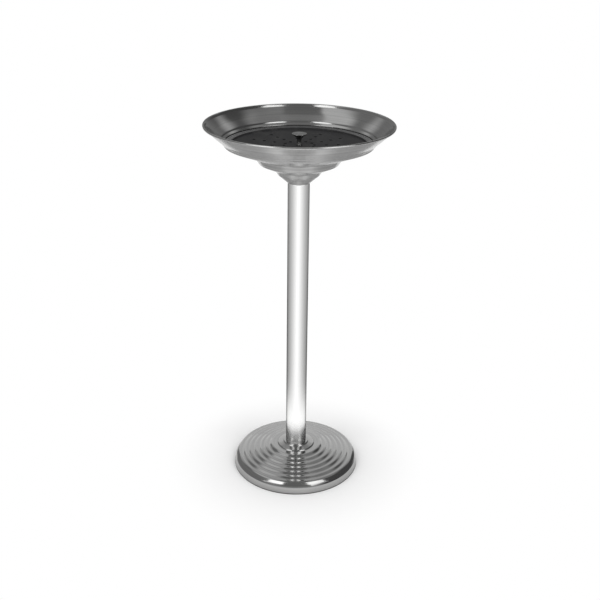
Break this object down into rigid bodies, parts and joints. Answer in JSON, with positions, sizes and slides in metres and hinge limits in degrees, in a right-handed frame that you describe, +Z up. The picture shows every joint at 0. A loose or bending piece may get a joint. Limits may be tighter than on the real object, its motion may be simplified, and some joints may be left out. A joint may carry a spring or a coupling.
{
  "type": "standing ashtray",
  "caption": "Standing ashtray: wide stepped steel dish with a lift-out pierced sieve, on a round pole and a ringed, weighted foot.",
  "frame": {"origin": "on the floor, at the middle of the foot, on the axis that every round piece shares", "axes": "+Z up along the pole; +X and +Y lie on the floor and the round object has no front"},
  "size_m": [0.3799, 0.38, 0.7755],
  "materials": {
    "spun_steel": "spun and brushed stainless steel, with fine rings",
    "pole_steel": "polished stainless tube",
    "knob_steel": "turned stainless steel",
    "sieve_black": "satin black coating",
    "fastener_steel": "zinc plated steel",
    "cast_weight": "painted casting",
    "plug_nylon": "moulded",
    "black_rubber": "moulded, matte"
  },
  "bodies": {
    "stand": {"floor_ring": "black_rubber", "base_cover": "spun_steel", "base_weight": "cast_weight", "base_washer": "fastener_steel", "base_lock_washer": "fastener_steel", "base_nut": "fastener_steel", "tie_rod": "fastener_steel", "pole_tube": "pole_steel", "tube_bottom_plug": "plug_nylon", "tube_top_plug": "plug_nylon", "bowl": "spun_steel", "bowl_seal": "black_rubber", "bowl_clamp_washer": "fastener_steel", "bowl_dome_nut": "fastener_steel"},
    "sieve": {"sieve_plate": "sieve_black", "sieve_knob": "knob_steel", "sieve_washer": "fastener_steel", "sieve_screw": "fastener_steel"}
  },
  "joints": [
    {"name": "sieve_lift", "type": "slide", "parent": "stand", "child": "sieve", "axis": [0, 0, 1], "range_m": [0, 0.09]}
  ]
}
